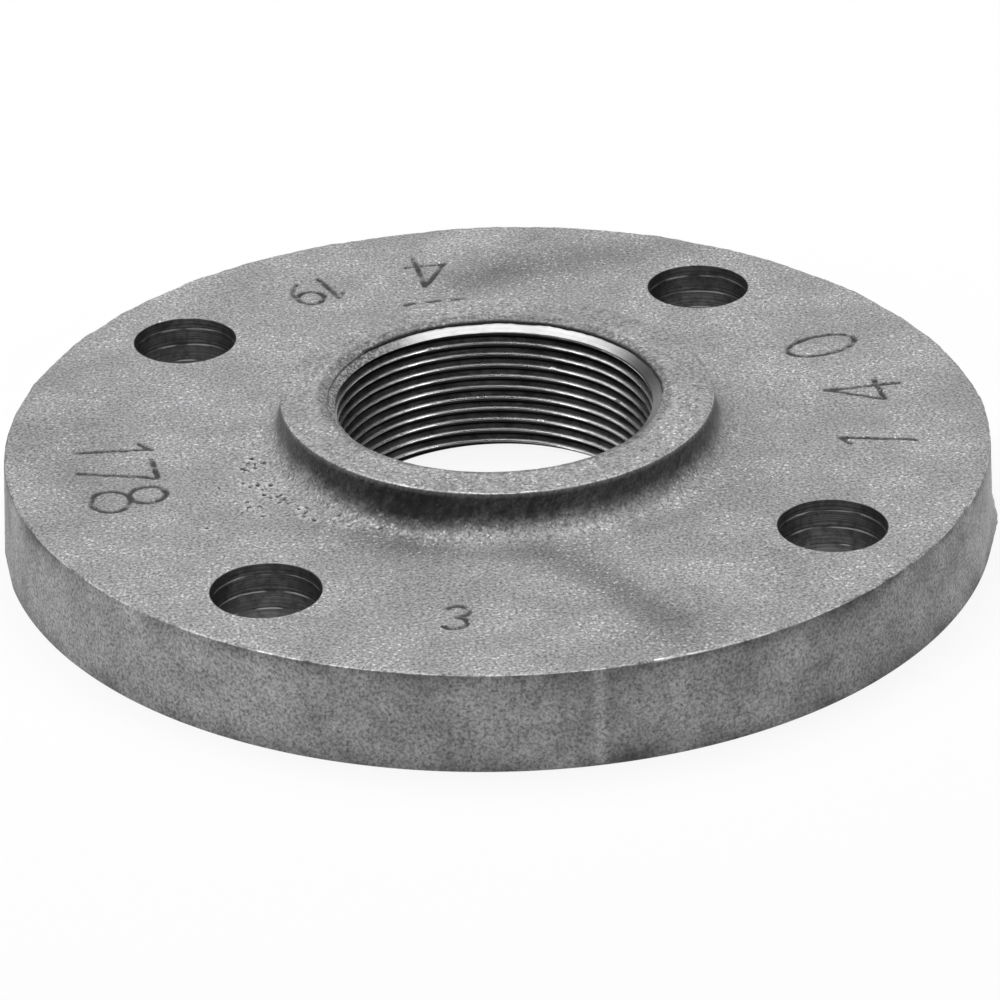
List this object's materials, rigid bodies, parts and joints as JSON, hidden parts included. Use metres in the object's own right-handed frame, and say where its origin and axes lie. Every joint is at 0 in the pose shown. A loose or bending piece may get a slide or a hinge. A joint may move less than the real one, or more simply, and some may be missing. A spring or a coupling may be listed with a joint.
{
  "type": "reducing companion flange",
  "caption": "Round cast-iron pipe flange with a low hub, a taper-threaded bore for a smaller pipe, plain through bolt holes and a machined gasket face.",
  "frame": {"origin": "centre of the machined gasket face, on the pipe axis", "axes": "+Z along the pipe axis, from the gasket face to the hub; the bolt holes lie at 45 degrees to X and Y"},
  "size_m": [0.1778, 0.1778, 0.0256],
  "materials": {
    "cast_iron": "as-cast, with a machined bore, holes and gasket face"
  },
  "bodies": {
    "root": {"flange": "cast_iron"}
  },
  "joints": []
}
